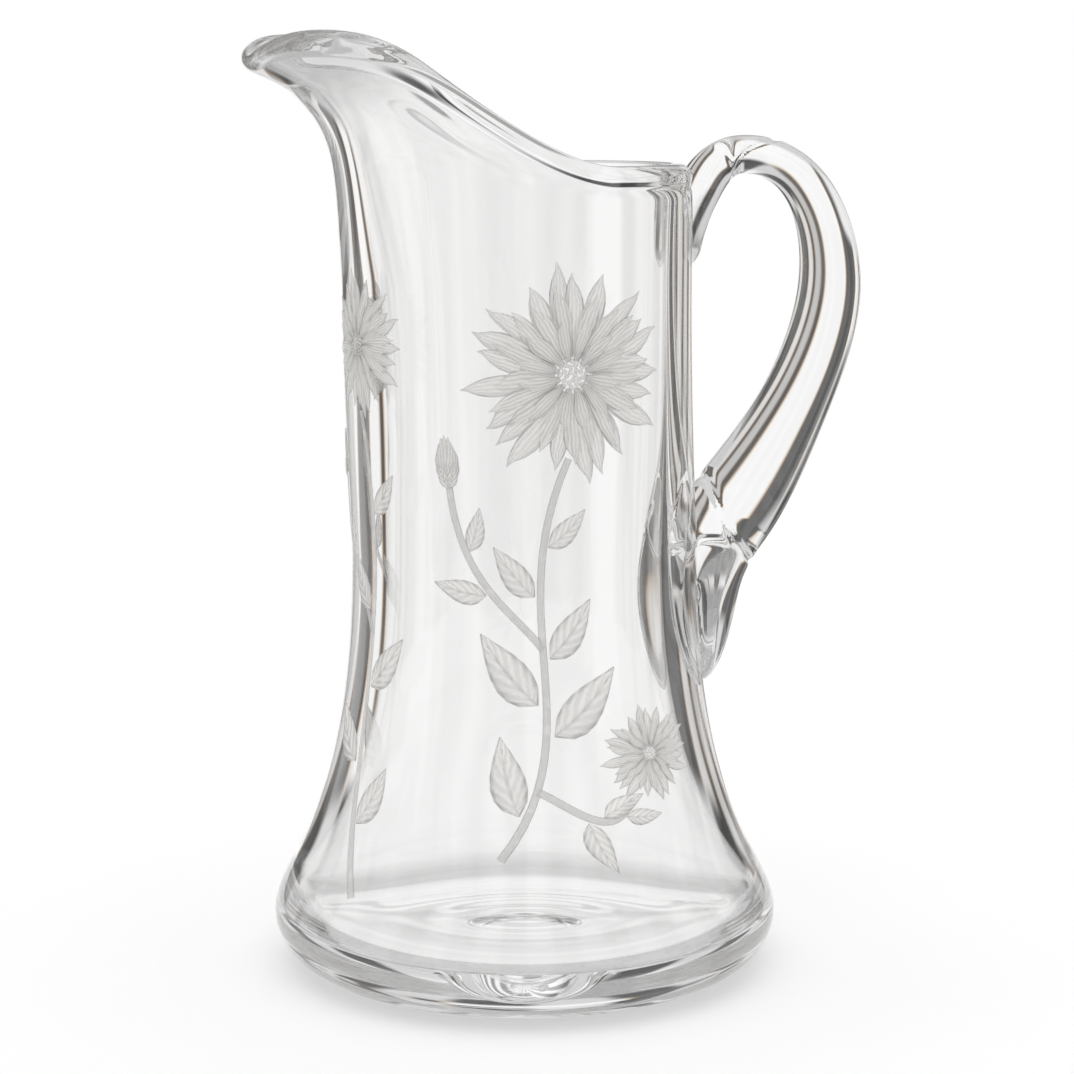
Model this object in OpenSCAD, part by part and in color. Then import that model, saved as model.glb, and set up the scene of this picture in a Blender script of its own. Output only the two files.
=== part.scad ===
// Heavy clear-glass cocktail pitcher: a blown body with a pulled spout, and one applied handle.
// The spout points along -X and the handle along +X. The origin is on the body's axis, on the table.

/* [Body] */
// Height of the rim at the handle
rim_h = 226; // [200:1:250]
// Diameter of the body above the flare
waist_d = 97; // [88:0.5:106]
// Diameter of the bore above the flare
bore_d = 77.4; // [66:0.2:82]
// Height at which the flare has run out into the straight wall
flare_top = 118; // [105:1:130]
// How far up the foot the flare keeps its steep start
flare_low = 12.5; // [6:0.5:20]
// How far down the straight wall draws the flare in
flare_high = 76; // [60:1:84]
// How far the outer wall shifts towards the spout, over a bore that stays central
lean = 2.1; // [0:0.1:4]
// Height over which that shift grows
lean_span = 80; // [40:1:100]

/* [Foot] */
// Widest diameter of the foot
foot_d = 143; // [130:0.5:156]
// Height of the widest point
heel_h = 15.4; // [12:0.1:20]
// Width of the rounded heel, from the widest point in to the flat ring
heel_w = 17; // [8:0.5:24]
// Thickness of the glass at the foot's widest point
foot_wall = 7; // [5:0.1:12]
// Thickness of the floor
floor_t = 13.5; // [11:0.5:18]
// Radius of the round corner between floor and wall
well_fillet = 6; // [4:0.5:12]
// Diameter of the polished hollow under the base
dish_d = 32; // [20:0.5:44]
// Depth of the polished hollow under the base
dish_depth = 9; // [2:0.5:9.5]

/* [Spout] */
// Reach of the outer edge of the spout, from the axis
spout_reach = 74.8; // [66:0.2:84]
// How far the edge rises from the handle's side to the spout's shoulders
spout_rise = 33.2; // [24:0.2:40]
// How far the pouring tip dips below the shoulders
spout_dip = 5; // [2:0.1:9]
// Half width of the dip
dip_angle = 19; // [12:0.5:30]
// Angle from the tip at which the edge starts to fall
fall_start = 18.5; // [10:0.5:30]
// Angle from the tip at which the edge has come down to the rim
fall_end = 109.3; // [95:0.1:125]
// Half width of the flared lip
spout_angle = 32; // [26:1:44]
// Height of the lip that bends outwards, below the tip
spout_drop = 57.2; // [45:0.2:70]
// How far the lip leans out gently before it bends over
gentle_reach = 3.2; // [0:0.1:6]
// How sharply the lip bends over near the tip
bend_power = 6; // [3:0.5:8]
// Thickness of the glass at the tip
lip_t = 5.6; // [4:0.2:9]
// Height of the rounded edge all round
edge_round = 3.6; // [1.2:0.1:4.4]

/* [Handle] */
// Reach of the outside of the grip, from the axis
handle_reach = 98.8; // [90:0.2:108]
// How far below the rim the grip reaches out furthest
bend_drop = 33.2; // [24:0.2:42]
// Thickness of the grip at its outermost bend
grip_t = 17.8; // [14:0.2:22]
// Height of the top of the handle above the rim
crest_rise = 7.5; // [4:0.5:12]
// Thickness of the glass at the top of the handle
crest_t = 10.8; // [9:0.2:14]
// Distance from the axis to the top of the handle
crest_x = 63.7; // [60:0.1:72]
// Thickness of the glass where it runs into the lower pad
root_t = 25.8; // [18:0.2:30]
// Height at which the glass runs into the lower pad
root_h = 127.4; // [116:0.2:138]
// Distance from the wall to the middle of the glass at that height
root_gap = 12.7; // [8:0.1:16]
// Width of the lower pad around the wall
pad_w = 38; // [26:1:46]
// Height of the lower pad's pointed end
pad_tip_h = 78; // [70:1:92]
// Length of the upper tail pressed down the wall below the rim
tail_l = 29; // [18:1:36]
// Width of the upper tail
tail_w = 16; // [10:1:22]

/* [Hidden] */
waist_r = waist_d / 2;
bore_r = bore_d / 2;
foot_r = foot_d / 2;
dish_r = dish_d / 2;
well_r = foot_r - foot_wall;
well_h = floor_t + well_fillet;
edge_h = rim_h - edge_round;
tip_h = edge_h + spout_rise - spout_dip;
bend_start = tip_h - spout_drop;
hard_reach = spout_reach - waist_r - lean - gentle_reach;
glass_tint = [0.86, 0.89, 0.9];

// Facets of turned faces, sides of the lofted wall, and rings and sides of the handle
turned_facets = 96;
wall_sides = 80;
wall_rows = 15;
edge_rows = 5;
handle_rings = 72;
handle_sides = 20;
curve_steps = 24;

// The lofted wall starts this far down inside the turned one, set in by a hair on both faces
seam_lap = 1;
seam_step = 0.08;

// Point on a cubic curve at t from 0 to 1
function curve(a, b, c, d, t) =
    let (s = 1 - t)
    s * s * s * a + 3 * s * s * t * b + 3 * s * t * t * c + t * t * t * d;

// Smooth change through a list of stations, at u counted in stations
function through(list, u) =
    let (n = len(list) - 1, i = min(floor(u), n - 1), t = u - i)
    let (p = list[max(i - 1, 0)], q = list[i], r = list[i + 1], s = list[min(i + 2, n)])
    q + 0.5 * t * (r - p + t * (2 * p - 5 * q + 4 * r - s + t * (3 * (q - r) + s - p)));

function clamp01(v) = min(1, max(0, v));

// Turned lower part, as points of [radius, height]
outer_flare = [for (i = [0 : curve_steps]) curve(
    [foot_r, heel_h], [foot_r, heel_h + flare_low],
    [waist_r, flare_top - flare_high], [waist_r, flare_top], i / curve_steps)];
inner_flare = [for (i = [0 : curve_steps]) curve(
    [bore_r, flare_top], [bore_r, flare_top - flare_high],
    [well_r, well_h + flare_low], [well_r, well_h], i / curve_steps)];
heel = [for (a = [0 : 9 : 81]) [foot_r - heel_w + heel_w * sin(a), heel_h - heel_h * cos(a)]];
fillet = [for (a = [9 : 9 : 90]) [well_r - well_fillet + well_fillet * cos(a), well_h - well_fillet * sin(a)]];
dish = [for (i = [0 : 8]) [dish_r * i / 8, dish_depth * (1 - pow(i / 8, 2))]];

// Outer radius of the blown wall at an angle from the spout and a height above the flare
function shift(z) = lean * sin(90 * clamp01((z - flare_top) / lean_span));
function lip(phi) = exp(-pow(phi / spout_angle, 2));
function bend(z) = max(0, (z - bend_start) / spout_drop);
function wall_r(phi, z) =
    waist_r + shift(z) * cos(phi)
    + lip(phi) * (hard_reach * pow(bend(z), bend_power) + gentle_reach * bend(z));

// Height of the outer edge: flat at the handle, then up to the spout's shoulders, with a dip at its tip
function fall(phi) = 0.5 + 0.5 * cos(180 * clamp01((abs(phi) - fall_start) / (fall_end - fall_start)));
function edge_z(phi) = edge_h + spout_rise * fall(phi) - spout_dip * exp(-pow(phi / dip_angle, 2));

// Thickness across the wall
function wall_t(phi, z) =
    let (plain = waist_r - bore_r + shift(z) * cos(phi))
    let (up = clamp01((z - flare_top) / (edge_z(phi) - flare_top)))
    plain + (lip_t - plain) * lip(phi) * pow(up, 3);

// Slope of the outer wall, outwards per unit of height
slope_step = 0.05;
function wall_slope(phi, z) =
    (wall_r(phi, z + slope_step) - wall_r(phi, z - slope_step)) / (2 * slope_step);
function wall_normal(phi, z) =
    let (s = wall_slope(phi, z))
    [-1, s] / norm([1, s]);

// The edge is cut square across the spout's direction, so inside it lies lower where it climbs to the spout
angle_step = 0.5;
function climb(phi) =
    (fall(abs(phi) - angle_step) - fall(abs(phi) + angle_step)) / (2 * angle_step) * spout_rise * 180 / PI;
function edge_drop(phi) =
    let (z = edge_z(phi))
    (1 - lip(phi)) * wall_t(phi, z) * cos(phi) * climb(phi) / (wall_r(phi, z) * max(sin(abs(phi)), 0.3));

// Rows of one upright cut through the wall: outside going up, over the round edge, inside going down
function row_z(top, i) =
    i == 0 ? flare_top - seam_lap
    : flare_top + (top - flare_top) * (1 - pow(1 - i / wall_rows, 1.4));
function outside(phi, z) = [wall_r(phi, z) - seam_step, z];
function inside(phi, z) =
    outside(phi, z) + (wall_t(phi, z) - 2 * seam_step) * wall_normal(phi, z);
function inside_top(phi) = edge_z(phi) - edge_drop(phi);
function outside_rows(phi) =
    let (top = edge_z(phi))
    [for (i = [0 : wall_rows]) outside(phi, row_z(top, i))];
function inside_rows(phi) =
    let (top = inside_top(phi))
    [for (i = [wall_rows : -1 : 0]) inside(phi, row_z(top, i))];
function edge_rows_of(phi) =
    let (a = outside(phi, edge_z(phi)), b = inside(phi, inside_top(phi)))
    let (across = (a - b) / norm(a - b), along = [-across[1], across[0]])
    [for (i = [1 : edge_rows])
        let (turn = 180 * i / (edge_rows + 1))
        (a + b) / 2 + (a - b) / 2 * cos(turn) + edge_round * along * sin(turn)];
function wall_cut(phi) = concat(outside_rows(phi), edge_rows_of(phi), inside_rows(phi));

// Cut of the solid that the outer wall bounds, down to a core well inside the bore
core_r = bore_r / 2;
function filled_cut(phi) = concat(
    outside_rows(phi), edge_rows_of(phi),
    [[core_r, edge_z(phi)], [core_r, flare_top - seam_lap]]);

// A cut's points, turned to its angle from the spout
function turned_to(phi, cut) = [for (p = cut) [-p[0] * cos(phi), -p[0] * sin(phi), p[1]]];

// Closed skin over rings that all have the same number of points
module skin(rings, closed) {
    n = len(rings);
    m = len(rings[0]);
    last = closed ? n - 1 : n - 2;
    sides = [for (j = [0 : last], i = [0 : m - 1])
        let (k = (j + 1) % n, l = (i + 1) % m)
        each [[j * m + i, j * m + l, k * m + l], [j * m + i, k * m + l, k * m + i]]];
    ends = closed ? [] : [
        [for (i = [m - 1 : -1 : 0]) i],
        [for (i = [0 : m - 1]) (n - 1) * m + i]];
    polyhedron(points = [for (ring = rings) each ring], faces = concat(sides, ends));
}

module turned_part() {
    rotate_extrude($fn = turned_facets)
        polygon(concat(dish, heel, outer_flare, inner_flare, fillet, [[0, floor_t]]));
}

module blown_wall() {
    skin([for (j = [0 : wall_sides - 1])
        let (phi = 360 * j / wall_sides - 180)
        turned_to(phi, wall_cut(phi))], true);
}

// Everything inside the body's outer face on the handle's side, which the handle is pressed against
module seat() {
    rotate_extrude($fn = turned_facets)
        polygon(concat([[0, 0]], heel, outer_flare, [[0, flare_top]]));
    side = 360 / wall_sides;
    skin([for (j = [-10 : 10])
        let (phi = 180 + j * side)
        turned_to(phi, filled_cut(phi > 180 ? phi - 360 : phi))], false);
}

module body() {
    color(glass_tint) {
        turned_part();
        blown_wall();
    }
}

// Outer face of the body below the handle, as a distance from the axis
flare_table = [for (p = outer_flare) [p[1], p[0]]];
function face_x(z) = z < flare_top ? lookup(z, flare_table) : wall_r(180, min(z, edge_h));

// Middle line of the handle in four runs: up the wall, over the top, down the grip and along the pad
tail_end = [face_x(rim_h - tail_l) - 0.5, rim_h - tail_l];
crest = [crest_x, rim_h + crest_rise - crest_t / 2];
grip = [handle_reach - grip_t / 2, rim_h - bend_drop];
root = [face_x(root_h) + root_gap, root_h];
pad_tip = [face_x(pad_tip_h), pad_tip_h];
slant = [0.6, 0.8];
runs = [
    [tail_end, tail_end + [1, tail_l * 0.6], crest - [11.4, 0], crest],
    [crest, crest + [17.9, 0], grip + [0, 17.7], grip],
    [grip, grip - [0, 20.8], root + slant * 21.4, root],
    [root, root - slant * 14, pad_tip + [0.5, 20], pad_tip]];
function middle(u) =
    let (i = min(floor(u), len(runs) - 1), run = runs[i])
    curve(run[0], run[1], run[2], run[3], u - i);

// Half depth and half width of the glass, two stations to a run, with both ends drawn in round
stations = [
    [tail_w * 0.26, tail_w * 0.42],
    [tail_w * 0.38, tail_w * 0.5],
    [crest_t * 0.5, crest_t * 0.56],
    [grip_t * 0.38, grip_t * 0.42],
    [grip_t * 0.5, grip_t * 0.5],
    [root_t * 0.385, root_t * 0.42],
    [root_t * 0.5, pad_w * 0.4],
    [root_t * 0.357, pad_w * 0.5],
    [root_t * 0.35, pad_w * 0.46]];
function sizes(u) =
    let (close = min(1, u / 0.12 + 0.05, (len(runs) - u) / 0.5 + 0.01))
    through(stations, 2 * u) * sqrt(1 - pow(1 - close, 2));

// One ring of the handle, bent round the body's axis so that the pads lie along the wall
tangent_step = 0.01;
function handle_ring(u) =
    let (c = middle(u), size = sizes(u))
    let (way = middle(min(len(runs), u + tangent_step)) - middle(max(0, u - tangent_step)))
    let (along = way / norm(way))
    [for (i = [0 : handle_sides - 1])
        let (turn = 360 * i / handle_sides)
        let (reach = c[0] + size[0] * cos(turn) * along[1], z = c[1] - size[0] * cos(turn) * along[0])
        let (round_axis = size[1] * sin(turn) / c[0] * 180 / PI)
        [reach * cos(round_axis), reach * sin(round_axis), z]];

module handle() {
    color(glass_tint)
        difference() {
            skin([for (i = [0 : handle_rings])
                handle_ring(len(runs) * i / handle_rings)], false);
            seat();
        }
}

body();
handle();
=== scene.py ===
import math
import bmesh
import bpy
import numpy as np
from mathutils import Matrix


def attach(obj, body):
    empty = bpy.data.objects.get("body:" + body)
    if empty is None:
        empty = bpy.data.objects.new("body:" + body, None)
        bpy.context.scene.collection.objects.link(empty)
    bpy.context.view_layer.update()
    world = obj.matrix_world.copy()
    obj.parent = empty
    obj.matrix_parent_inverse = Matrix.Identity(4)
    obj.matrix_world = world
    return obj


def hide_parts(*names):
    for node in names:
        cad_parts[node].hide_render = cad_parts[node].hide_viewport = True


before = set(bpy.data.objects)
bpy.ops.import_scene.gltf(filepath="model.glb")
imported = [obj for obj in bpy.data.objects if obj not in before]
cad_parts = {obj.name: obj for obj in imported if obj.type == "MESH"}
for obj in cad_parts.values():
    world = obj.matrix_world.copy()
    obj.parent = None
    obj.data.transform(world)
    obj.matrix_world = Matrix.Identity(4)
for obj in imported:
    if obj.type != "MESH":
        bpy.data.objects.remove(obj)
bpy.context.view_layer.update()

MM = 0.001

# Body, in millimetres and degrees: the source's sizes, a hair smaller where the box of the solids is tight

RIM_H = 226.0  # rim at the handle
WAIST_R = 48.5  # body above the flare
BORE_R = 38.7  # bore above the flare
FLARE_TOP = 118.0  # where the flare has run out into the straight wall
FLARE_LOW = 12.5  # how far up the foot the flare keeps its steep start
FLARE_HIGH = 76.0  # how far down the straight wall draws the flare in
LEAN = 2.1  # how far the outer wall shifts towards the spout
LEAN_SPAN = 80.0  # height over which that shift grows
FOOT_R = 71.48  # foot at its widest
HEEL_H = 15.4  # height of the widest point
HEEL_W = 17.0  # rounded heel, from the widest point in to the flat ring
FOOT_WALL = 7.0  # glass at the foot's widest point
FLOOR_T = 13.5  # thickness of the floor
WELL_FILLET = 6.0  # round corner between floor and wall
DISH_R = 16.0  # polished hollow under the base
DISH_DEPTH = 9.0
RIPPLE = 0.11  # half the depth of the rings in the inner floor
RIPPLE_SPACING = 18.0
RIPPLE_FADE = 8.0  # width over which the rings fade out at the round corner

# Spout and edge

SPOUT_REACH = 74.6  # outer edge of the spout, from the axis
SPOUT_RISE = 33.0  # from the rim at the handle up to the spout's shoulders
SPOUT_DIP = 5.0  # pouring tip below the shoulders
DIP_ANGLE = 19.0  # half width of the dip
FALL_START = 18.5  # angle from the tip at which the edge starts to fall
FALL_END = 109.3  # angle from the tip at which it has come down to the rim
SPOUT_ANGLE = 32.0  # half width of the flared lip
SPOUT_DROP = 57.2  # height of the lip that bends outwards, below the tip
GENTLE_REACH = 3.2  # how far the lip leans out before it bends over
BEND_POWER = 6.0  # how sharply the lip bends over near the tip
LIP_T = 5.6  # glass at the tip
EDGE_ROUND = 3.6  # height of the rounded edge
LEAST_SINE = 0.3  # keeps the edge's drop finite at the spout and the handle
NECK_DEPTH = 0.45  # hollow below the polished edge, twice as deep at the spout
NECK_DROP = (2.2, 2.4)  # how far it lies below the edge, and how much further at the spout
NECK_SPAN = (1.6, 1.2)  # how tall it is, and how much taller at the spout

# Handle

HANDLE_REACH = 98.7  # outside of the grip, from the axis
BEND_DROP = 33.2  # how far below the rim the grip reaches out furthest
GRIP_T = 17.8  # grip at its outermost bend
CREST_RISE = 7.5  # top of the handle above the rim
CREST_T = 10.8  # glass at the top of the handle
CREST_X = 63.7  # from the axis to the top of the handle
ROOT_T = 25.8  # glass where it runs into the lower pad
ROOT_H = 127.4  # height of that place
ROOT_GAP = 12.7  # from the wall to the middle of the glass there
ROOT_WAY = np.array([0.6, 0.8])  # slant of the glass there
PAD_W = 38.0  # lower pad around the wall
PAD_TIP_H = 78.0  # lower pad's pointed end
TAIL_L = 29.0  # upper tail pressed down the wall below the rim
TAIL_W = 16.0
TAIL_SINK = 0.5  # how far the tail's middle line starts inside the wall
CREST_PULLS = (11.4, 17.9)  # how far the crest keeps its way towards the tail and the grip
GRIP_PULLS = (17.7, 20.8)  # how far the outermost bend keeps its way up and down
ROOT_PULLS = (21.4, 14.0)  # how far the root keeps its slant up and down
TAIL_PULL = (1.0, TAIL_L * 0.6)  # how the tail leaves its end, outwards and up
TIP_PULL = (0.5, 20.0)  # how the pad runs into its pointed end
HANDLE_RUNS = 4
TAIL_END = (0.12, 0.05)  # runs over which the tail closes, and how blunt it stays
PAD_END = (0.5, 0.01)  # the same for the pad
FUSE = 0.25  # how far the handle is pressed into the wall
CREASE_W = 0.022  # width of a crease, in runs of the handle
FOLD = (0.935, 0.215, 0.1)  # fold at the top: place and slant in runs, and depth
SUNK = (3.12, 0.18, 0.07)  # where the bar sank into the pad: the same
SHARP_ANGLE = 50

# Rows and sides of the meshes

BODY_SIDES = 224
DISH_ROWS = 10
FLAT_PLACES = (0.03, 0.5, 0.97)  # close to both ends, so that smooth shading keeps the ring flat
HEEL_ROWS = 24
FLARE_ROWS = 64
WALL_ROWS = 90
EDGE_ROWS = 16
FILLET_ROWS = 16
FLOOR_ROWS = 45
HANDLE_STEPS = 90  # in each of its runs
HANDLE_SIDES = 64

EDGE_H = RIM_H - EDGE_ROUND
TIP_H = EDGE_H + SPOUT_RISE - SPOUT_DIP
BEND_START = TIP_H - SPOUT_DROP
HARD_REACH = SPOUT_REACH - WAIST_R - LEAN - GENTLE_REACH
WELL_R = FOOT_R - FOOT_WALL
WELL_H = FLOOR_T + WELL_FILLET


# Blown wall, by angle from the spout in degrees and height

def sind(a):
    return np.sin(np.radians(a))


def cosd(a):
    return np.cos(np.radians(a))


def shift(z):
    """How far the outer wall is moved towards the spout."""
    return LEAN * sind(90 * np.clip((z - FLARE_TOP) / LEAN_SPAN, 0, 1))


def lip(phi):
    """Share of the spout's flare, 1 at the tip."""
    return np.exp(-(phi / SPOUT_ANGLE) ** 2)


def wall_r(phi, z):
    bend = np.maximum(0, (z - BEND_START) / SPOUT_DROP)
    flare = HARD_REACH * bend ** BEND_POWER + GENTLE_REACH * bend
    return WAIST_R + shift(z) * cosd(phi) + lip(phi) * flare


def fall(phi):
    """Share of the edge's rise, 1 at the spout and 0 at the handle."""
    return 0.5 + 0.5 * cosd(180 * np.clip((np.abs(phi) - FALL_START) / (FALL_END - FALL_START), 0, 1))


def edge_z(phi):
    return EDGE_H + SPOUT_RISE * fall(phi) - SPOUT_DIP * np.exp(-(phi / DIP_ANGLE) ** 2)


def wall_t(phi, z):
    """Thickness of the wall, which thins towards the tip."""
    plain = WAIST_R - BORE_R + shift(z) * cosd(phi)
    up = np.clip((z - FLARE_TOP) / (edge_z(phi) - FLARE_TOP), 0, 1)
    return plain + (LIP_T - plain) * lip(phi) * up ** 3


def edge_drop(phi, step=0.5):
    """How far the inner edge lies below the outer one, as if the rim were cut straight across."""
    side = np.abs(phi)
    climb = (fall(side - step) - fall(side + step)) * SPOUT_RISE / np.radians(2 * step)
    z = edge_z(phi)
    reach = wall_r(phi, z) * np.maximum(sind(side), LEAST_SINE)
    return (1 - lip(phi)) * wall_t(phi, z) * cosd(phi) * climb / reach


def inside(phi, z, step=0.05):
    """Radius and height of the inner face, square to the outer one at a height."""
    slope = (wall_r(phi, z + step) - wall_r(phi, z - step)) / (2 * step)
    across = wall_t(phi, z) / np.sqrt(1 + slope ** 2)
    return wall_r(phi, z) - across, z + across * slope


def neck(phi, below):
    """The fire-polished edge swells a little, most at the spout, so the wall is thinner just below it."""
    rise = fall(phi)
    drop = NECK_DROP[0] + NECK_DROP[1] * rise
    span = NECK_SPAN[0] + NECK_SPAN[1] * rise
    return NECK_DEPTH * (1 + rise) * np.exp(-((below - drop) / span) ** 2)


def bezier(a, b, c, d, count):
    t = np.linspace(0, 1, count)[:, None]
    s = 1 - t
    a, b, c, d = (np.array(p, float) for p in (a, b, c, d))
    return s ** 3 * a + 3 * s * s * t * b + 3 * s * t * t * c + t ** 3 * d


OUTER_FLARE = bezier((FOOT_R, HEEL_H), (FOOT_R, HEEL_H + FLARE_LOW),
                     (WAIST_R, FLARE_TOP - FLARE_HIGH), (WAIST_R, FLARE_TOP), FLARE_ROWS)
INNER_FLARE = bezier((BORE_R, FLARE_TOP), (BORE_R, FLARE_TOP - FLARE_HIGH),
                     (WELL_R, WELL_H + FLARE_LOW), (WELL_R, WELL_H), FLARE_ROWS)


def outer_r(phi, z):
    """Outer radius of the body at any height above the heel."""
    low = np.interp(z, OUTER_FLARE[:, 1], OUTER_FLARE[:, 0])
    return np.where(z < FLARE_TOP, low, wall_r(phi, np.maximum(z, FLARE_TOP)))


# Glass meshes

def place(name, data):
    """Object of a mesh or a camera, at the origin."""
    piece = bpy.data.objects.new(name, data)
    bpy.context.scene.collection.objects.link(piece)
    return piece


def glass_piece(name, rings, low_pole, high_pole, material):
    """Closed skin over equal rings, with a point at each end."""
    count, sides = len(rings), len(rings[0])
    verts = np.concatenate([np.concatenate(rings), [low_pole, high_pole]])
    faces = []
    for j in range(count - 1):
        for i in range(sides):
            k = (i + 1) % sides
            faces.append((j * sides + i, j * sides + k, (j + 1) * sides + k, (j + 1) * sides + i))
    last = (count - 1) * sides
    for i in range(sides):
        k = (i + 1) % sides
        faces.append((k, i, count * sides))
        faces.append((last + i, last + k, count * sides + 1))
    mesh = bpy.data.meshes.new(name)
    mesh.from_pydata((verts * MM).tolist(), [], faces)
    shell = bmesh.new()
    shell.from_mesh(mesh)
    bmesh.ops.recalc_face_normals(shell, faces=shell.faces)
    shell.to_mesh(mesh)
    shell.free()
    mesh.shade_smooth()
    mesh.materials.append(material)
    return place(name, mesh)


PHI = np.linspace(-180, 180, BODY_SIDES, endpoint=False)


def ring(r, z):
    """Ring of the body, with one radius and height or one for each side."""
    r = np.broadcast_to(r, PHI.shape)
    z = np.broadcast_to(z, PHI.shape)
    return np.stack([-r * cosd(PHI), -r * sind(PHI), z], -1)


def foot_rings():
    """Hollow under the base, flat ring, rounded heel and flare."""
    rings = []
    heel_in = FOOT_R - HEEL_W
    for t in np.linspace(0, 1, DISH_ROWS + 1)[1:]:
        rings.append(ring(DISH_R * t, DISH_DEPTH * (1 - t * t)))
    for t in FLAT_PLACES:
        rings.append(ring(DISH_R + (heel_in - DISH_R) * t, 0))
    for a in np.linspace(0, 90, HEEL_ROWS + 1)[:-1]:
        rings.append(ring(heel_in + HEEL_W * sind(a), HEEL_H - HEEL_H * cosd(a)))
    return rings + [ring(r, z) for r, z in OUTER_FLARE]


def wall_rings():
    """Outer wall up to the edge, the rounded edge, and the inner wall down to the flare."""
    rings = []
    top_out = edge_z(PHI)
    top_in = top_out - edge_drop(PHI)
    steps = 1 - (1 - np.linspace(0, 1, WALL_ROWS + 1)[1:]) ** 2
    for t in steps:
        z = FLARE_TOP + (top_out - FLARE_TOP) * t
        rings.append(ring(wall_r(PHI, z) - neck(PHI, top_out - z), z))
    a = np.stack([wall_r(PHI, top_out), top_out], -1)
    b = np.stack(inside(PHI, top_in), -1)
    across = (a - b) / np.linalg.norm(a - b, axis=1, keepdims=True)
    along = np.stack([-across[:, 1], across[:, 0]], -1)
    for turn in np.linspace(0, 180, EDGE_ROWS + 2)[1:-1]:
        p = (a + b) / 2 + (a - b) / 2 * cosd(turn) + EDGE_ROUND * along * sind(turn)
        rings.append(ring(p[:, 0], p[:, 1]))
    for t in steps[::-1]:
        z = FLARE_TOP + (top_in - FLARE_TOP) * t
        r, z_in = inside(PHI, z)
        rings.append(ring(r + neck(PHI, top_in - z), z_in))
    return rings


def well_rings():
    """Flare inside, round corner and faintly rippled floor."""
    rings = [ring(r, z) for r, z in INNER_FLARE]
    flat_r = WELL_R - WELL_FILLET
    for a in np.linspace(0, 90, FILLET_ROWS + 1)[1:]:
        rings.append(ring(flat_r + WELL_FILLET * cosd(a), WELL_H - WELL_FILLET * sind(a)))
    for r in np.linspace(flat_r, 0, FLOOR_ROWS + 1)[1:-1]:
        fade = min(1, (flat_r - r) / RIPPLE_FADE)
        rings.append(ring(r, FLOOR_T - RIPPLE * (1 - cosd(360 * r / RIPPLE_SPACING)) * fade))
    return rings


def make_body(material):
    rings = foot_rings() + wall_rings() + well_rings()
    return glass_piece("body_glass", rings, (0, 0, DISH_DEPTH), (0, 0, FLOOR_T), material)


def through(stations, u):
    """Smooth change through stations, at u counted in stations."""
    last = len(stations) - 1
    i = min(int(u), last - 1)
    t = u - i
    p, q, r, s = (stations[min(max(i + k, 0), last)] for k in (-1, 0, 1, 2))
    return q + 0.5 * t * (r - p + t * (2 * p - 5 * q + 4 * r - s + t * (3 * (q - r) + s - p)))


def face_x(z):
    """Distance from the axis to the wall under the handle."""
    return float(outer_r(np.array(180.0), np.array(min(z, EDGE_H))))


def handle_line():
    """Middle line in four runs: up the wall, over the top, down the grip, along the pad."""
    tail = np.array([face_x(RIM_H - TAIL_L) - TAIL_SINK, RIM_H - TAIL_L])
    crest = np.array([CREST_X, RIM_H + CREST_RISE - CREST_T / 2])
    grip = np.array([HANDLE_REACH - GRIP_T / 2, RIM_H - BEND_DROP])
    root = np.array([face_x(ROOT_H) + ROOT_GAP, ROOT_H])
    tip = np.array([face_x(PAD_TIP_H), PAD_TIP_H])
    runs = ((tail, tail + TAIL_PULL, crest - (CREST_PULLS[0], 0), crest),
            (crest, crest + (CREST_PULLS[1], 0), grip + (0, GRIP_PULLS[0]), grip),
            (grip, grip - (0, GRIP_PULLS[1]), root + ROOT_WAY * ROOT_PULLS[0], root),
            (root, root - ROOT_WAY * ROOT_PULLS[1], tip + TIP_PULL, tip))
    return np.concatenate([bezier(*run, HANDLE_STEPS + 1)[:-1] for run in runs] + [[tip]])


def handle_sizes(u):
    """Half depth and half width of the glass at u runs from the tail, two stations to a run."""
    stations = np.array([
        (TAIL_W * 0.26, TAIL_W * 0.42), (TAIL_W * 0.38, TAIL_W * 0.5),
        (CREST_T * 0.5, CREST_T * 0.56), (GRIP_T * 0.38, GRIP_T * 0.42),
        (GRIP_T * 0.5, GRIP_T * 0.5), (ROOT_T * 0.385, ROOT_T * 0.42),
        (ROOT_T * 0.5, PAD_W * 0.4), (ROOT_T * 0.357, PAD_W * 0.5), (ROOT_T * 0.35, PAD_W * 0.46)])
    from_tail = u / TAIL_END[0] + TAIL_END[1]
    from_tip = (HANDLE_RUNS - u) / PAD_END[0] + PAD_END[1]
    close = min(1, from_tail, from_tip)
    return through(stations, 2 * u) * math.sqrt(1 - (1 - close) ** 2)


def press_on(points):
    """Points inside the body's outer face come out to a hair below it, where the two glasses are fused."""
    x, y, z = points.T
    r = np.hypot(x, y)
    phi = np.degrees(np.arctan2(-y, -x))
    over = np.clip((z - EDGE_H) / EDGE_ROUND, 0, 1)
    half_edge = (WAIST_R - BORE_R) / 2
    skin = outer_r(phi, np.minimum(z, EDGE_H)) - FUSE - half_edge * (1 - np.sqrt(1 - over ** 2))
    skin = np.where(z > EDGE_H + EDGE_ROUND - FUSE, 0, skin)
    out = np.maximum(r, skin)
    return np.stack([x / r * out, y / r * out, z], -1)


def creases(u, turn):
    """Share of the size that slanted dips leave, where the glass was folded and where it sank in."""
    left = 1
    for at, slant, depth in (FOLD, SUNK):
        left = left - depth * np.exp(-((u + slant * np.cos(turn) - at) / CREASE_W) ** 2)
    return left


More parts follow.
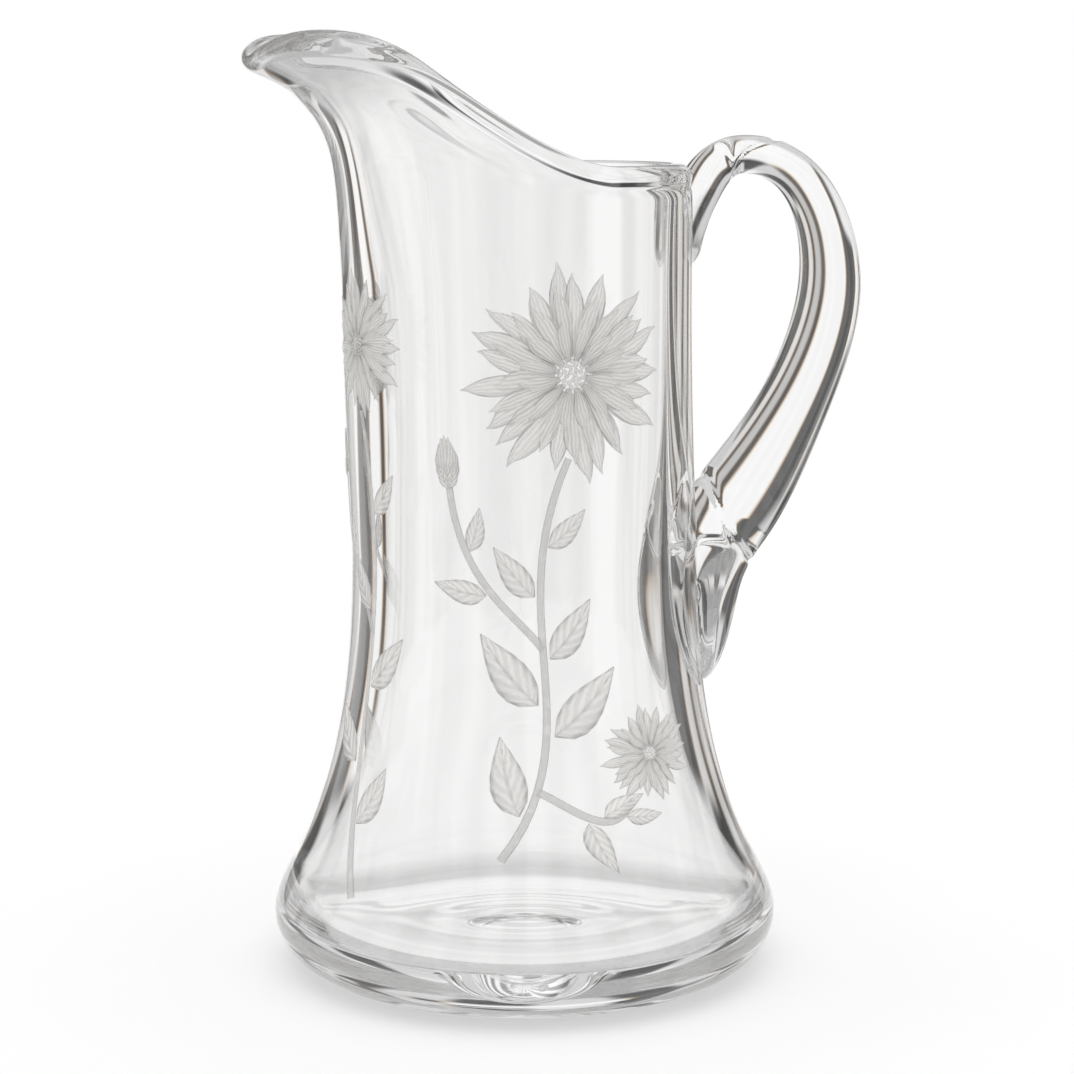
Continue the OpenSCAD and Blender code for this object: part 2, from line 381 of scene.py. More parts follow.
def make_handle(material):
    line = handle_line()
    turn = np.linspace(0, 2 * math.pi, HANDLE_SIDES, endpoint=False)
    skins = []
    for i, (x, z) in enumerate(line):
        way = line[min(i + 1, len(line) - 1)] - line[max(i - 1, 0)]
        way /= np.linalg.norm(way)
        u = i / HANDLE_STEPS
        depth, width = handle_sizes(u)[:, None] * creases(u, turn)
        reach = x + depth * np.cos(turn) * way[1]
        height = z - depth * np.cos(turn) * way[0]
        round_axis = width * np.sin(turn) / x
        skins.append(press_on(np.stack([reach * np.cos(round_axis), reach * np.sin(round_axis), height], -1)))
    low, high = skins[0].mean(axis=0), skins[-1].mean(axis=0)
    handle = glass_piece("handle_glass", skins, low, high, material)
    handle.data.set_sharp_from_angle(angle=math.radians(SHARP_ANGLE))
    return handle


# Shader and geometry nodes, written as expressions

class Wire:
    """An output socket that operators turn into further nodes."""

    def __init__(self, tree, socket):
        self.tree = tree
        self.socket = socket

    def other(self, name):
        """Another output of the same node."""
        return Wire(self.tree, self.socket.node.outputs[name])

    def parts(self):
        """The three numbers of a vector."""
        split = add(self.tree, "ShaderNodeSeparateXYZ", None, {0: self})
        return [split.other(name) for name in "XYZ"]

    def math(self, operation, *values):
        return number(self.tree, operation, self, *values)

    def __add__(self, v):
        return self.math("ADD", v)

    __radd__ = __add__

    def __sub__(self, v):
        return self.math("SUBTRACT", v)

    def __rsub__(self, v):
        return number(self.tree, "SUBTRACT", v, self)

    def __mul__(self, v):
        return self.math("MULTIPLY", v)

    __rmul__ = __mul__

    def __truediv__(self, v):
        return self.math("DIVIDE", v)

    def __rtruediv__(self, v):
        return number(self.tree, "DIVIDE", v, self)

    def __pow__(self, v):
        return self.math("POWER", v)

    def __rpow__(self, v):
        return number(self.tree, "POWER", v, self)

    def ramp(self, low, high, to_low=0.0, to_high=1.0):
        """Smooth step from to_low at low to to_high at high."""
        return add(self.tree, "ShaderNodeMapRange", {"interpolation_type": "SMOOTHSTEP"},
                   {"Value": self, 1: low, 2: high, 3: to_low, 4: to_high})

    def exactly(self, count):
        """1 where a whole number is this count, and otherwise 0."""
        return self.ramp(count - 1, count) * self.ramp(count + 1, count)


def add(tree, kind, settings=None, inputs=None, out=0):
    """One node with its settings and its inputs, given by name or number, as the wire of one output."""
    node = tree.nodes.new(kind)
    for key, value in (settings or {}).items():
        setattr(node, key, value)
    for key, value in (inputs or {}).items():
        socket = node.inputs[key]
        if isinstance(value, Wire):
            tree.links.new(value.socket, socket)
        else:
            socket.default_value = value
    return Wire(tree, node.outputs[out]) if node.outputs else None


def number(tree, operation, *values):
    return add(tree, "ShaderNodeMath", {"operation": operation}, dict(enumerate(values)))


def vector(tree, *numbers):
    return add(tree, "ShaderNodeCombineXYZ", None, dict(enumerate(numbers)))


def colour(tree, *levels):
    return add(tree, "ShaderNodeCombineColor", None, dict(enumerate(levels)))


def blend(first, second, share):
    return first + (second - first) * share


def largest(wires):
    top = wires[0]
    for wire in wires[1:]:
        top = top.math("MAXIMUM", wire)
    return top


def new_material(name):
    material = bpy.data.materials.new(name)
    material.use_nodes = True
    material.node_tree.nodes.clear()
    return material, material.node_tree


def surface(tree, shader):
    add(tree, "ShaderNodeOutputMaterial", None, {"Surface": shader})


# Clear glass, in metres: faintly wavy, with painted shade that greys the curled lip, where it is seen edge on

GLASS_CLEAR = 0.99
GLASS_WARM = 0.002  # taken from blue
LIP_PAINTED_SHADE = 0.26
LIP_FROM = (-0.03, 0.235)  # place along X and height at which the painted shade starts
LIP_FULL = (-0.055, 0.252)


def glass_material(name):
    material, tree = new_material(name)
    spot = add(tree, "ShaderNodeTexCoord", out="Object")
    waves = add(tree, "ShaderNodeTexNoise", None, {
        "Vector": spot, "Scale": 22.0, "Detail": 1.0, "Roughness": 0.4})
    bump = add(tree, "ShaderNodeBump", None, {"Strength": 0.02, "Distance": 0.0004, "Height": waves})
    x, _, z = spot.parts()
    # painted shade: the glass's colour is darkened in the spout's lip, where it is seen edge on, in place of
    # the grey that light through it would give
    lip_shade_share = x.ramp(LIP_FROM[0], LIP_FULL[0]) * z.ramp(LIP_FROM[1], LIP_FULL[1])
    clear = GLASS_CLEAR - LIP_PAINTED_SHADE * lip_shade_share
    surface(tree, add(tree, "ShaderNodeBsdfPrincipled", None, {
        "Base Color": colour(tree, clear, clear, clear - GLASS_WARM), "Roughness": 0.0,
        "IOR": 1.52, "Transmission Weight": 1.0, "Normal": bump}))
    return material


# Engraved frost: fine strokes along petals, slanted veins in leaves, and painted shade that darkens the
# outlines, the leaves' ribs and the petals' bases

STROKES, STROKE_TWIST, STROKE_DRIFT = 15, 3, 9
VEINS, VEIN_SLANT, VEIN_DRIFT = 34, 11, 4
LINE_EDGE = 0.9
OUTLINE_AT, RIB_AT, HEART_AT = (0.72, 0.98), (0.02, 0.16), (0.0, 0.45)  # shares of half width and length
FROST, FROST_GREEN, FROST_BLUE = 0.8, 0.985, 0.96
LINE_LIGHT, GRAIN_LIGHT = 0.1, 0.06
# painted shade of the cuts: how much the outlines, the leaves' ribs and the petals' bases are darkened
OUTLINE_PAINTED_SHADE, RIB_PAINTED_SHADE, HEART_PAINTED_SHADE = 0.24, 0.2, 0.12
LINE_CUT, GRAIN_CUT, OUTLINE_CUT = 0.6, 0.3, 0.5
FROST_ROUGH, GRAIN_ROUGH = 0.5, 0.25
FROST_ALPHA, LINE_ALPHA, OUTLINE_ALPHA = 0.55, 0.16, 0.3


def engraving_material(name):
    material, tree = new_material(name)
    along, across, leafy = (add(tree, "ShaderNodeAttribute", {"attribute_name": label}, out="Fac")
                            for label in ("along", "across", "leafy"))
    spot = add(tree, "ShaderNodeTexCoord", out="Object")
    grain = add(tree, "ShaderNodeTexNoise", None, {"Vector": spot, "Scale": 900.0, "Detail": 3.0})
    drift = add(tree, "ShaderNodeTexNoise", None, {"Vector": spot, "Scale": 160.0, "Detail": 2.0})
    side = across.math("ABSOLUTE")
    strokes = (across * STROKES + along * STROKE_TWIST + drift * STROKE_DRIFT).math("SINE")
    veins = (along * VEINS - side * VEIN_SLANT + drift * VEIN_DRIFT).math("SINE")
    lines = blend(strokes, veins, leafy).ramp(-LINE_EDGE, LINE_EDGE)
    outline = side.ramp(*OUTLINE_AT)
    rib = (1 - side.ramp(*RIB_AT)) * leafy
    heart = (1 - along.ramp(*HEART_AT)) * (1 - leafy)
    light = FROST + LINE_LIGHT * lines + GRAIN_LIGHT * grain
    # painted shade darkens the outlines, the leaves' ribs and the petals' bases
    shade = light - OUTLINE_PAINTED_SHADE * outline - RIB_PAINTED_SHADE * rib - HEART_PAINTED_SHADE * heart
    cut = lines * LINE_CUT + grain * GRAIN_CUT - outline * OUTLINE_CUT
    bump = add(tree, "ShaderNodeBump", None, {"Strength": 0.5, "Distance": 0.0003, "Height": cut})
    surface(tree, add(tree, "ShaderNodeBsdfPrincipled", None, {
        "Base Color": colour(tree, shade, shade * FROST_GREEN, shade * FROST_BLUE),
        "Roughness": FROST_ROUGH + GRAIN_ROUGH * grain, "IOR": 1.45, "Normal": bump,
        "Alpha": FROST_ALPHA + OUTLINE_ALPHA * outline + LINE_ALPHA * lines}))
    return material


# Engraving: drawn flat in millimetres along and up the wall, then laid on it

BLADE_EDGE, BLADE_CROWN = 0.16, 0.3  # a petal or leaf at its edge, and how much it swells in the middle
ROOTED = 0.1  # how deep the engraving is set into the wall
PETAL = {"Base width": 0.3, "Fullest at": 1.25, "Tip round": 0.1, "Leafy": 0.0}
LEAF = {"Base width": 0.03, "Fullest at": 0.72, "Tip round": 0.0, "Leafy": 1.0}
SEED_FLATNESS, STEM_FLATNESS = 0.5, 0.35
STEM_POINTS = 25
STEM_FOOT, STEM_TAPER = 1.15, 0.45  # thickness at the foot, and what the end has less
LEAF_ANGLE = 48  # between leaf and stem
LEAF_STALK, LEAF_WIDTH, LEAF_BEND = 0.12, 0.44, 0.16  # shares of the leaf's length
LEAF_LIFT = 0.05
# Rings of petals: count, then end, start and width as shares of the flower's radius
PETAL_RINGS = ((21, 1.0, 0.2, 0.2), (17, 0.8, 0.17, 0.19), (12, 0.56, 0.13, 0.16))
PETAL_LIFT, PETAL_LAP = 0.1, 0.03  # from ring to ring, and from petal to petal
RING_TURN = 0.4  # from ring to ring, in radians
LENGTH_SWING, WIDTH_SWING, BEND_SWING = (0.1, 2.4), (0.12, 3.7), (0.13, 1.7)  # size and rate
SEED_COUNT, SEED_LIFT = 34, 0.45
SEED_SPREAD, SEED_SIZE = 0.17, 0.026  # shares of the flower's radius
SEED_TURN = 2.39996  # golden angle in radians, which spreads the seeds evenly
BUD_HALF = 3  # petals on each side of a bud's middle one
BUD_FAN, CUP_FAN = 0.17, 0.5  # from petal to petal and from leaf to leaf, in radians
BUD_TAPER, BUD_WIDTH, BUD_BEND = 0.045, 0.3, 0.08  # shares of the bud's length
CUP_LENGTH, CUP_WIDTH, CUP_BEND = 0.55, 0.24, 0.2
BUD_LAP, CUP_DROP, CUP_LIFT = 0.04, 1.2, 0.3


def node_group(name, inputs):
    """Geometry node tree with a geometry in and out and some named inputs, as their wires."""
    tree = bpy.data.node_groups.new(name, "GeometryNodeTree")
    tree.interface.new_socket("Geometry", in_out="OUTPUT", socket_type="NodeSocketGeometry")
    kinds = {"Geometry": "NodeSocketGeometry", "Material": "NodeSocketMaterial"}
    labels = ("Geometry", "Material") + inputs
    for label in labels:
        tree.interface.new_socket(label, in_out="INPUT", socket_type=kinds.get(label, "NodeSocketFloat"))
    entry = add(tree, "NodeGroupInput")
    return tree, {label: entry.other(label) for label in labels}


def close_group(tree, geometry, material):
    real = add(tree, "GeometryNodeRealizeInstances", None, {"Geometry": geometry})
    painted = add(tree, "GeometryNodeSetMaterial", None, {"Geometry": real, "Material": material})
    add(tree, "NodeGroupOutput", None, {0: painted})
    return tree


def named(tree, name):
    return add(tree, "GeometryNodeInputNamedAttribute", {"data_type": "FLOAT"}, {"Name": name})


def store(tree, geometry, name, value):
    return add(tree, "GeometryNodeStoreNamedAttribute", {"data_type": "FLOAT", "domain": "POINT"},
               {"Geometry": geometry, "Name": name, "Value": value})


def blade_tree(name):
    """One petal or leaf on every point, turned and sized by the point's attributes."""
    tree, take = node_group(name, ("Base width", "Fullest at", "Tip round", "Leafy"))
    block = add(tree, "GeometryNodeMeshCube", None, {
        "Size": (1, 1, 1), "Vertices X": 8, "Vertices Y": 3, "Vertices Z": 2})
    x, y, z = add(tree, "GeometryNodeInputPosition").parts()
    along = x + 0.5
    across = y * 2
    block = store(tree, block, "along", along)
    block = store(tree, block, "across", across)
    block = store(tree, block, "leafy", take["Leafy"])
    swell = ((along ** take["Fullest at"]) * math.pi).math("SINE")
    wide = take["Base width"] + (1 - take["Base width"]) * swell
    far = along - take["Tip round"] * across * across * along ** 4
    lift = (z + 0.5) * (BLADE_EDGE + BLADE_CROWN * wide * (1 - across * across))
    shaped = add(tree, "GeometryNodeSetPosition", None, {
        "Geometry": block, "Position": vector(tree, far, across * wide * 0.5, lift)})
    turn = named(tree, "turn")
    length = named(tree, "length")
    many = add(tree, "GeometryNodeInstanceOnPoints", None, {
        "Points": take["Geometry"], "Instance": shaped,
        "Rotation": add(tree, "FunctionNodeEulerToRotation", None, {0: vector(tree, 0, 0, turn)}),
        "Scale": vector(tree, length, named(tree, "width"), 1)})
    real = add(tree, "GeometryNodeRealizeInstances", None, {"Geometry": many})
    sway = named(tree, "bend") * length * named(tree, "along") ** 2
    aside = vector(tree, 0 - sway * turn.math("SINE"), sway * turn.math("COSINE"), 0)
    bent = add(tree, "GeometryNodeSetPosition", None, {"Geometry": real, "Offset": aside})
    return close_group(tree, bent, take["Material"])


def stem_tree(name):
    """A flattened cord along every line, as thick as its points say."""
    tree, take = node_group(name, ("Flatness",))
    line = add(tree, "GeometryNodeMeshToCurve", None, {"Mesh": take["Geometry"]})
    line = add(tree, "GeometryNodeSetCurveRadius", None, {"Curve": line, "Radius": named(tree, "thick")})
    outline = add(tree, "GeometryNodeCurvePrimitiveCircle", None, {"Resolution": 8, "Radius": 1.0})
    cord = add(tree, "GeometryNodeCurveToMesh", None, {
        "Curve": line, "Profile Curve": outline, "Fill Caps": True})
    x, y, z = add(tree, "GeometryNodeInputPosition").parts()
    flat = add(tree, "GeometryNodeSetPosition", None, {
        "Geometry": cord, "Position": vector(tree, x, y, z * take["Flatness"])})
    return close_group(tree, flat, take["Material"])


def seed_tree(name):
    """A small round bead on every point."""
    tree, take = node_group(name, ("Flatness",))
    bead = add(tree, "GeometryNodeMeshUVSphere", None, {"Segments": 8, "Rings": 4, "Radius": 1.0})
    r = named(tree, "length")
    many = add(tree, "GeometryNodeInstanceOnPoints", None, {
        "Points": take["Geometry"], "Instance": bead, "Scale": vector(tree, r, r, r * take["Flatness"])})
    return close_group(tree, many, take["Material"])


def grow(name, tree, values, points, edges, attributes):
    """Runs a tree on flat points and lays what it makes on the body's wall."""
    mesh = bpy.data.meshes.new(name + "_points")
    mesh.from_pydata(np.asarray(points, float).tolist(), edges, [])
    for label, column in attributes.items():
        column = np.asarray(column, np.float32)
        mesh.attributes.new(label, "FLOAT", "POINT").data.foreach_set("value", column)
    holder = place(name + "_points", mesh)
    maker = holder.modifiers.new("maker", "NODES")
    maker.node_group = tree
    for item in tree.interface.items_tree:
        if item.in_out == "INPUT" and item.name in values:
            maker[item.identifier] = values[item.name]
    grown = bpy.data.meshes.new_from_object(holder.evaluated_get(bpy.context.evaluated_depsgraph_get()))
    bpy.data.objects.remove(holder)
    grown.name = name
    flat = np.empty(len(grown.vertices) * 3, np.float32)
    grown.vertices.foreach_get("co", flat)
    u, v, w = flat.reshape(-1, 3).astype(float).T
    phi = np.degrees(u / WAIST_R) % 360 - 180
    r = outer_r(phi, v) + w - ROOTED
    wall = np.stack([-r * cosd(phi), -r * sind(phi), v], -1) * MM
    grown.vertices.foreach_set("co", wall.astype(np.float32).ravel())
    grown.shade_smooth()
    return place(name, grown)


def uneven(swing, i, start=0):
    """Small change from petal to petal."""
    size, rate = swing
    return size * math.sin(rate * i + start)


class Spray:
    """Flowers, buds, leaves and stems drawn around a middle line at one angle of the wall."""

    def __init__(self):
        self.petals = []
        self.leaves = []
        self.seeds = []
        self.lines = []
        self.middle = 0.0

    def start(self, angle):
        self.middle = math.radians(angle) * WAIST_R

    def blade(self, kind, u, v, lift, turn, length, width, bend):
        kind.append((self.middle + u, v, lift, turn, length, width, bend))

    def stem(self, a, b, c, d, thick, leaves):
        """Stem with leaves given as (place along it, side, length)."""
        last = STEM_POINTS - 1
        line = bezier(a, b, c, d, STEM_POINTS)
        cord = []
        for i, (u, v) in enumerate(line):
            cord.append((self.middle + u, v, thick * (STEM_FOOT - STEM_TAPER * i / last)))
        self.lines.append(cord)
        for share, side, length in leaves:
            i = round(share * last)
            way = line[min(i + 1, last)] - line[max(i - 1, 0)]
            turn = math.atan2(way[1], way[0]) + side * math.radians(LEAF_ANGLE)
            stalk = length * LEAF_STALK
            u = line[i][0] + stalk * math.cos(turn)
            v = line[i][1] + stalk * math.sin(turn)
            lift = LEAF_LIFT * (1 + side)
            self.blade(self.leaves, u, v, lift, turn, length, length * LEAF_WIDTH, -LEAF_BEND * side)
        return line

    def bloom(self, u, v, radius, squash=1.0):
        """Daisy of three rings of petals, each petal a little uneven, with seeds in the middle."""
        for ring_no, (count, end, start, width) in enumerate(PETAL_RINGS):
            for i in range(count):
                turn = 2 * math.pi * (i + 0.5 * ring_no) / count + RING_TURN * ring_no
                way = np.array([math.cos(turn), math.sin(turn) * squash])
                long = radius * (end - start) * (1 + uneven(LENGTH_SWING, i, ring_no)) * np.hypot(*way)
                wide = radius * width * (1 + uneven(WIDTH_SWING, i))
                bend = uneven(BEND_SWING, i, 2 * ring_no)
                lift = PETAL_LIFT * ring_no + PETAL_LAP * (i % 3)
                foot_u = u + way[0] * start * radius
                foot_v = v + way[1] * start * radius
                self.blade(self.petals, foot_u, foot_v, lift, math.atan2(way[1], way[0]), long, wide, bend)
        for i in range(SEED_COUNT):
            r = SEED_SPREAD * radius * math.sqrt((i + 0.5) / SEED_COUNT)
            seed_u = self.middle + u + r * math.cos(SEED_TURN * i)
            seed_v = v + r * math.sin(SEED_TURN * i) * squash
            self.seeds.append((seed_u, seed_v, SEED_LIFT, SEED_SIZE * radius))

    def bud(self, u, v, turn, length):
        """Closed fan of petals in a cup of three leaves."""
        turn = math.radians(turn)
        for i in range(-BUD_HALF, BUD_HALF + 1):
            lift = BUD_LAP * (BUD_HALF - abs(i))
            long = length * (1 - BUD_TAPER * i * i)
            self.blade(self.petals, u, v, lift, turn + i * BUD_FAN, long, length * BUD_WIDTH, -BUD_BEND * i)
        foot_u = u - CUP_DROP * math.cos(turn)
        foot_v = v - CUP_DROP * math.sin(turn)
        for i in (-1, 0, 1):
            self.blade(self.leaves, foot_u, foot_v, CUP_LIFT, turn + i * CUP_FAN,
                       length * CUP_LENGTH, length * CUP_WIDTH, -CUP_BEND * i)


def draw_sprays():
    """A large spray on the side that the camera sees, and a smaller one below the spout."""
    art = Spray()
    art.start(-96)
    main = art.stem(
        (-12, 44), (12, 80), (-14, 108), (5, 150), 0.95,
        ((0.1, 1, 21), (0.3, -1, 24), (0.36, 1, 24), (0.52, -1, 19), (0.66, 1, 17), (0.8, -1, 14)))
    art.stem(main[4], (4, 58), (14, 46), (20, 58), 0.75, ((0.45, -1, 14), (0.6, 1, 12), (0.85, -1, 10)))
    art.stem(main[13], (-10, 110), (-24, 116), (-27, 142), 0.7, ((0.45, 1, 15), (0.7, -1, 12)))
    art.bloom(6, 172, 28)
    art.bloom(27, 69, 14, 0.9)
    art.bud(-27, 143, 96, 13)
    art.start(-165)
    main = art.stem(
        (13, 30), (-10, 74), (12, 112), (-1, 160), 0.9,
        ((0.12, -1, 17), (0.25, 1, 20), (0.42, -1, 19), (0.58, 1, 17), (0.78, -1, 14)))
    art.stem(main[13], (-4, 116), (-18, 116), (-20, 140), 0.65, ((0.6, -1, 11),))
    art.bloom(-2, 178, 19)
    art.bud(-20, 141, 96, 12)
    return art


def make_engraving(material):
    art = draw_sprays()
    pieces = []
    kinds = (("engraved_petals", PETAL, art.petals), ("engraved_leaves", LEAF, art.leaves))
    for name, shape, blades in kinds:
        rows = np.array(blades)
        columns = {"turn": rows[:, 3], "length": rows[:, 4], "width": rows[:, 5], "bend": rows[:, 6]}
        values = dict(shape, Material=material)
        pieces.append(grow(name, blade_tree(name), values, rows[:, :3], [], columns))
    rows = np.array(art.seeds)
    values = {"Flatness": SEED_FLATNESS, "Material": material}
    pieces.append(grow("engraved_seeds", seed_tree("engraved_seeds"), values,
                       rows[:, :3], [], {"length": rows[:, 3]}))
    points, edges, thick = [], [], []
    for line in art.lines:
        edges += [(len(points) + i, len(points) + i + 1) for i in range(len(line) - 1)]
        points += [(u, v, 0.0) for u, v, _ in line]
        thick += [t for _, _, t in line]
    values = {"Flatness": STEM_FLATNESS, "Material": material}
    pieces.append(grow("engraved_stems", stem_tree("engraved_stems"), values,
                       points, edges, {"thick": thick}))
    return pieces


# Studio: levels of light, where 1 is white, by turn around the table and height in degrees

WINDOWS = (  # turn, half width and level
    (78, 14, 0.88), (54, 3.5, 0.45), (41, 4, 0.65), (8, 6, 0.65), (121.5, 7, 0.85), (142, 7.5, 0.85),
    (180, 14, 0.85), (222, 5, 0.6), (262, 6, 0.6), (315, 14, 0.85), (350, 5, 0.6))
WINDOW_SOFT = 2  # half width of a window's soft edge
MAIN_LEVEL = 0.8  # windows brighter than this lie behind the vessel in one of several views of it
MAIN_REACH = (22, 14)  # from their middle, to where the ring light has gone and where it is full
COLOUR_SPREAD = (0.25, 0, -0.25)  # windows are this much wider in red, green and blue
DARK_WALL = 0.11  # between the windows
WINDOW_TOP = (4, 12)  # heights over which the windows give way to the upper sky
UPPER_SKY = (25, 60, 0.36, 0.85)  # heights and levels between which it brightens
SKY_RIBS, RIB_LIGHT, RIB_SOFT = 14, 0.3, 0.5
TABLE_LIGHT = 0.62  # below the table's edge, and in soft light that comes through glass
TABLE_EDGE = (-28, -40)  # heights over which the windows give way to the table
LOW_PATCH, LOW_PATCH_REACH = 136, (40, 31)  # bright patch low at the back, towards the spout
LOW_PATCH_TOP, LOW_PATCH_LIGHT = (-13, -17), 0.9
PIPED_BOUNCES, PIPED_LIGHT = (3, 7), 0.44  # light that runs on inside the glass
RING_LIGHTS, RING_LEVELS = 40, (0.3, 1)  # bands that the inner floor mirrors as rings
RING_SOFT, RING_FOOT = 0.8, (0, 5)
ROOM_LIGHT, ROOM_DARK, ROOM_TOP = 0.95, 0.6, (8, 22)  # pale room behind the vessel, darker overhead
SCREEN, SCREEN_REACH, SCREEN_TOP = 101, (16, 8), (-17, -21)  # dark screen low behind the foot
SOFT_LIGHT, SOFT_TOP_LIGHT, SOFT_TOP = 0.85, 1.1, (50, 60)  # light on matt surfaces, and more from above
ONE_WALL, WHOLE_VESSEL = 2, 4  # faces of glass that light crosses
TINY = 1e-6  # keeps a way straight up from dividing by nought


class Sky:
    """Where a ray leaves for, and how it came through the glass."""

    def __init__(self, tree):
        self.x, self.y, self.z = add(tree, "ShaderNodeTexCoord", out="Generated").parts()
        self.flat = (self.x * self.x + self.y * self.y + TINY).math("SQRT")
        path = add(tree, "ShaderNodeLightPath")
        self.seen = path.other("Is Camera Ray")
        self.soft = path.other("Diffuse Depth").math("MINIMUM", 1)
        self.crossed = path.other("Transmission Depth")
        self.bounced = path.other("Glossy Depth")
        self.mirrored = self.bounced.math("MINIMUM", 1)
        self.beyond = self.crossed.ramp(WHOLE_VESSEL, WHOLE_VESSEL + 1)
        self.nears = [self.near(turn) for turn, _, _ in WINDOWS]

    def near(self, turn):
        """Cosine of the angle to a turn, as seen from above."""
        return (self.x * cosd(turn) + self.y * sind(turn)) / self.flat

    def height(self, low, high, to_low=0.0, to_high=1.0):
        """Smooth step between two heights in degrees."""
        return self.z.ramp(sind(low), sind(high), to_low, to_high)


def within(near, reach, to_full=1.0):
    """Smooth step from the outer to the inner angle of a reach, in degrees from a turn."""
    return near.ramp(cosd(reach[0]), cosd(reach[1]), 0, to_full)


def room_light(sky):
    """A pale room, for light that crosses the whole vessel."""
    screen = within(sky.near(SCREEN), SCREEN_REACH) * sky.height(*SCREEN_TOP)
    return ROOM_LIGHT - ROOM_DARK * sky.height(*ROOM_TOP) - ROOM_DARK * screen


def matt_light(sky):
    """Soft light for matt surfaces, and a plainer one where it comes through glass."""
    open_sky = SOFT_LIGHT + sky.height(*SOFT_TOP) * SOFT_TOP_LIGHT
    return blend(open_sky, TABLE_LIGHT, sky.crossed.math("MINIMUM", 1))


def upper_light(sky):
    """Ribbed sky above the windows, plain for light that crosses the handle and the body."""
    turn = sky.y.math("ARCTAN2", sky.x)
    ribs = (turn * SKY_RIBS).math("SINE").ramp(-RIB_SOFT, RIB_SOFT, -RIB_LIGHT, RIB_LIGHT)
    return ribs * (1 - sky.beyond) + sky.height(*UPPER_SKY)


def window_light(sky, spread):
    """Windows between dark walls, down to the table's edge, for one colour."""
    lit = []
    for near, (_, half, level) in zip(sky.nears, WINDOWS):
        half = half + spread
        lit.append(within(near, (half + WINDOW_SOFT, half - WINDOW_SOFT), level))
    low = blend(largest(lit) + DARK_WALL, TABLE_LIGHT, sky.height(*TABLE_EDGE))
    patch = within(sky.near(LOW_PATCH), LOW_PATCH_REACH) * sky.height(*LOW_PATCH_TOP)
    return blend(low, LOW_PATCH_LIGHT, patch * (1 - sky.mirrored))


def make_world():
    """White to the camera. Glass edges see windows and dark walls, which draw their lines."""
    world = bpy.data.worlds.new("studio")
    bpy.context.scene.world = world
    world.use_nodes = True
    tree = world.node_tree
    tree.nodes.clear()
    sky = Sky(tree)
    edge = largest([1 - sky.crossed.ramp(ONE_WALL, ONE_WALL + 1), sky.mirrored, sky.beyond])
    mains = [near for near, (_, _, level) in zip(sky.nears, WINDOWS) if level > MAIN_LEVEL]
    ahead = largest([within(near, MAIN_REACH) for near in mains])
    in_floor = ahead * sky.crossed.exactly(WHOLE_VESSEL) * sky.bounced.exactly(1) * sky.height(*RING_FOOT)
    rings = (sky.z * RING_LIGHTS).math("SINE").ramp(-RING_SOFT, RING_SOFT, *RING_LEVELS)
    upper = upper_light(sky)
    room = room_light(sky)
    matt = matt_light(sky)
    above = sky.height(*WINDOW_TOP)
    piped = sky.bounced.ramp(*PIPED_BOUNCES)
    levels = []
    for spread in COLOUR_SPREAD:
        shown = blend(window_light(sky, spread), upper, above)
        shown = blend(shown, PIPED_LIGHT, piped)
        shown = blend(shown, rings, in_floor)
        shown = blend(room, shown, edge)
        shown = blend(shown, matt, sky.soft)
        levels.append(blend(shown, 1, sky.seen))
    back = add(tree, "ShaderNodeBackground", None, {"Color": colour(tree, *levels), "Strength": 1.0})
    add(tree, "ShaderNodeOutputWorld", None, {"Surface": back})


# Table, in metres: pale, and plain white through the vessel, apart from a band around the foot

TABLE_R, TABLE_SIDES, TABLE_GAP = 0.28, 96, 0.0002
TABLE_PAINT, TABLE_GLOW, TABLE_WHITE = 0.75, 0.16, 0.97
FOOT_BAND_IN, FOOT_BAND_OUT = (0.066, 0.076), (0.125, 0.09)
WHITE_SHARE, BAND_SHARE = 0.9, 0.7  # plain white through the vessel, and what the band has less


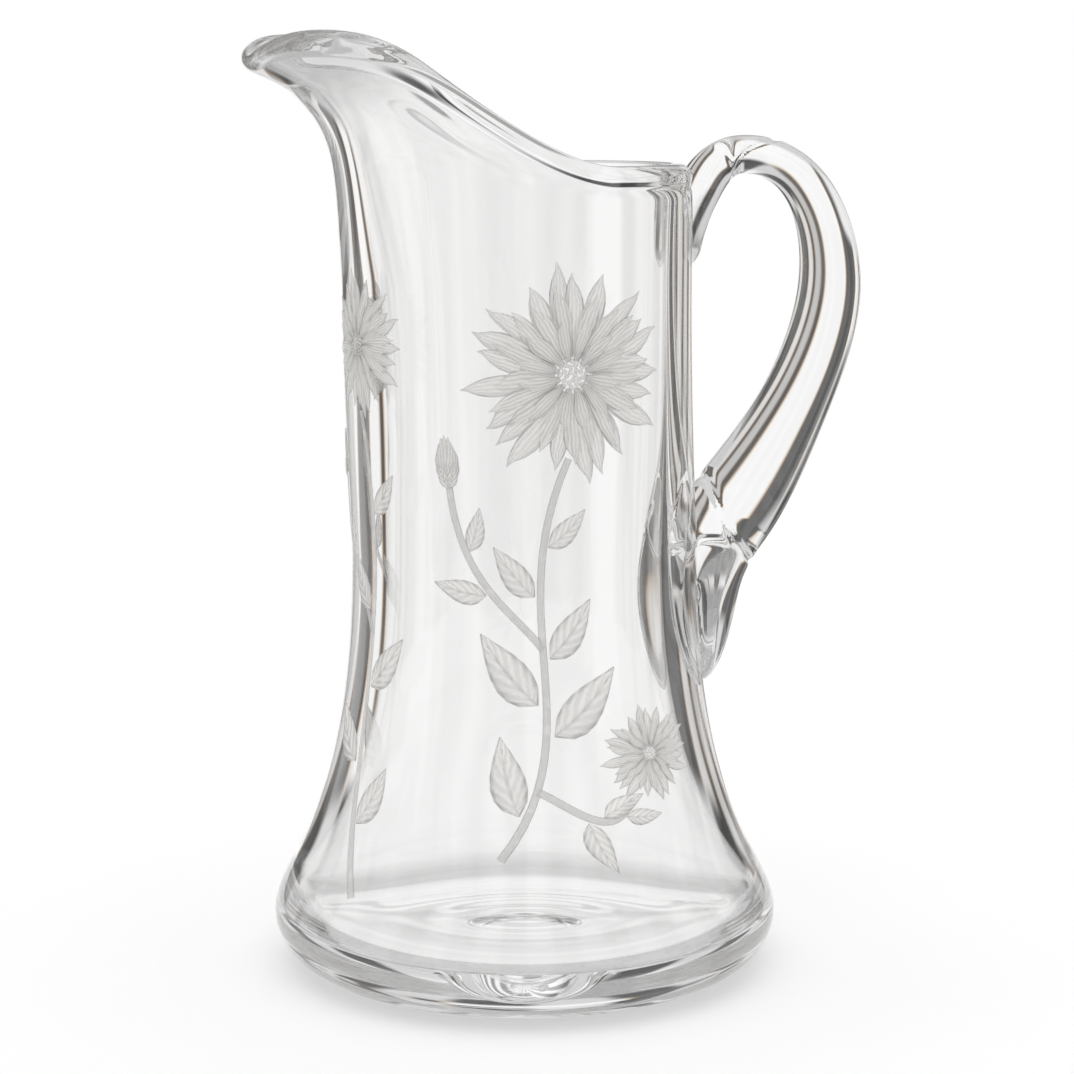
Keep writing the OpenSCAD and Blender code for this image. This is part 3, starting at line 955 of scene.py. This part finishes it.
def make_floor():
    material, tree = new_material("white_table")
    paint = add(tree, "ShaderNodeBsdfDiffuse", None, {"Color": (TABLE_PAINT, TABLE_PAINT, TABLE_PAINT, 1)})
    glow = add(tree, "ShaderNodeEmission", None, {"Color": (1, 1, 1, 1), "Strength": TABLE_GLOW})
    lit = add(tree, "ShaderNodeAddShader", None, {0: paint, 1: glow})
    white = add(tree, "ShaderNodeEmission", None, {"Color": (1, 1, 1, 1), "Strength": TABLE_WHITE})
    spot = add(tree, "ShaderNodeTexCoord", out="Object")
    out = add(tree, "ShaderNodeVectorMath", {"operation": "LENGTH"}, {0: spot}, "Value")
    near_foot = out.ramp(*FOOT_BAND_IN) * out.ramp(*FOOT_BAND_OUT)
    crossed = add(tree, "ShaderNodeLightPath", out="Transmission Depth")
    behind = crossed.ramp(ONE_WALL, ONE_WALL + 1) * (WHITE_SHARE - BAND_SHARE * near_foot)
    surface(tree, add(tree, "ShaderNodeMixShader", None, {0: behind, 1: lit, 2: white}))
    mesh = bpy.data.meshes.new("table_top")
    disc = bmesh.new()
    bmesh.ops.create_circle(disc, cap_ends=True, segments=TABLE_SIDES, radius=TABLE_R)
    disc.to_mesh(mesh)
    disc.free()
    mesh.materials.append(material)
    table = place("table_top", mesh)
    table.location.z = -TABLE_GAP


# Camera, in metres and degrees: beside the vessel, a little towards the spout

SENSOR, LENS = 36.0, 91.65
VIEW_TURN, VIEW_DISTANCE, VIEW_HEIGHT = 14.0, 0.761, 0.2433
VIEW_DOWN, VIEW_ASIDE = 9.09, 0.266  # tilt, and how far it looks past the axis


def make_camera():
    data = bpy.data.cameras.new("view")
    data.sensor_width = SENSOR
    data.lens = LENS
    camera = place("view", data)
    camera.location = (-VIEW_DISTANCE * sind(VIEW_TURN), -VIEW_DISTANCE * cosd(VIEW_TURN), VIEW_HEIGHT)
    camera.rotation_euler = (math.radians(90 - VIEW_DOWN), 0, math.radians(-VIEW_TURN - VIEW_ASIDE))
    bpy.context.scene.camera = camera


# Scene

BOUNCES = 64  # enough for light that runs on inside thick glass

bpy.context.scene.view_settings.view_transform = "Standard"
bpy.context.scene.cycles.max_bounces = BOUNCES
bpy.context.scene.cycles.transmission_bounces = BOUNCES
bpy.context.scene.cycles.glossy_bounces = BOUNCES
bpy.context.scene.cycles.blur_glossy = 0
make_camera()
make_world()
make_floor()
glass = glass_material("clear_glass")
body = make_body(glass)
handle = make_handle(glass)
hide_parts("body")
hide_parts("handle")
engraving = make_engraving(engraving_material("engraved_frost"))
for piece in [body, handle] + engraving:
    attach(piece, "root")
